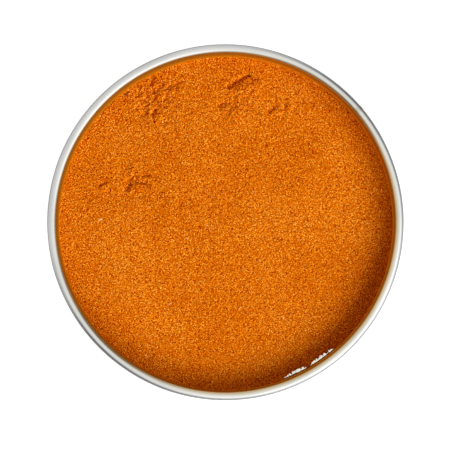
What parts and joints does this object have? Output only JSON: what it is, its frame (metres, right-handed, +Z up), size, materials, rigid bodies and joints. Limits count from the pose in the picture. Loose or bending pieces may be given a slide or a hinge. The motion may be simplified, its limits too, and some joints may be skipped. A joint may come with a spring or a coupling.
{
  "type": "spice tin",
  "caption": "Open round tin of ground spice with a curled rim and double-seamed base, standing in its own upturned slip-over lid.",
  "frame": {"origin": "middle of the face that rests on the table, the outside of the upturned lid's panel", "axes": "+Z up along the tin's axis, out of its open mouth; +X to the right and +Y away, seen from the front with the mouth up"},
  "size_m": [0.0716, 0.0716, 0.0341],
  "materials": {
    "tinplate": "polished tinplate",
    "compound": "matte",
    "spice": "matte loose powder",
    "liner": "matte pulpboard"
  },
  "bodies": {
    "lid": {"lid_shell": "tinplate", "lid_liner": "liner"},
    "tin": {"body_wall": "tinplate", "base_end": "tinplate", "seam_compound": "compound", "spice_fill": "spice"}
  },
  "joints": [
    {"name": "tin_lift", "type": "slide", "parent": "lid", "child": "tin", "axis": [0, 0, 1], "range_m": [0, 0.05]}
  ]
}
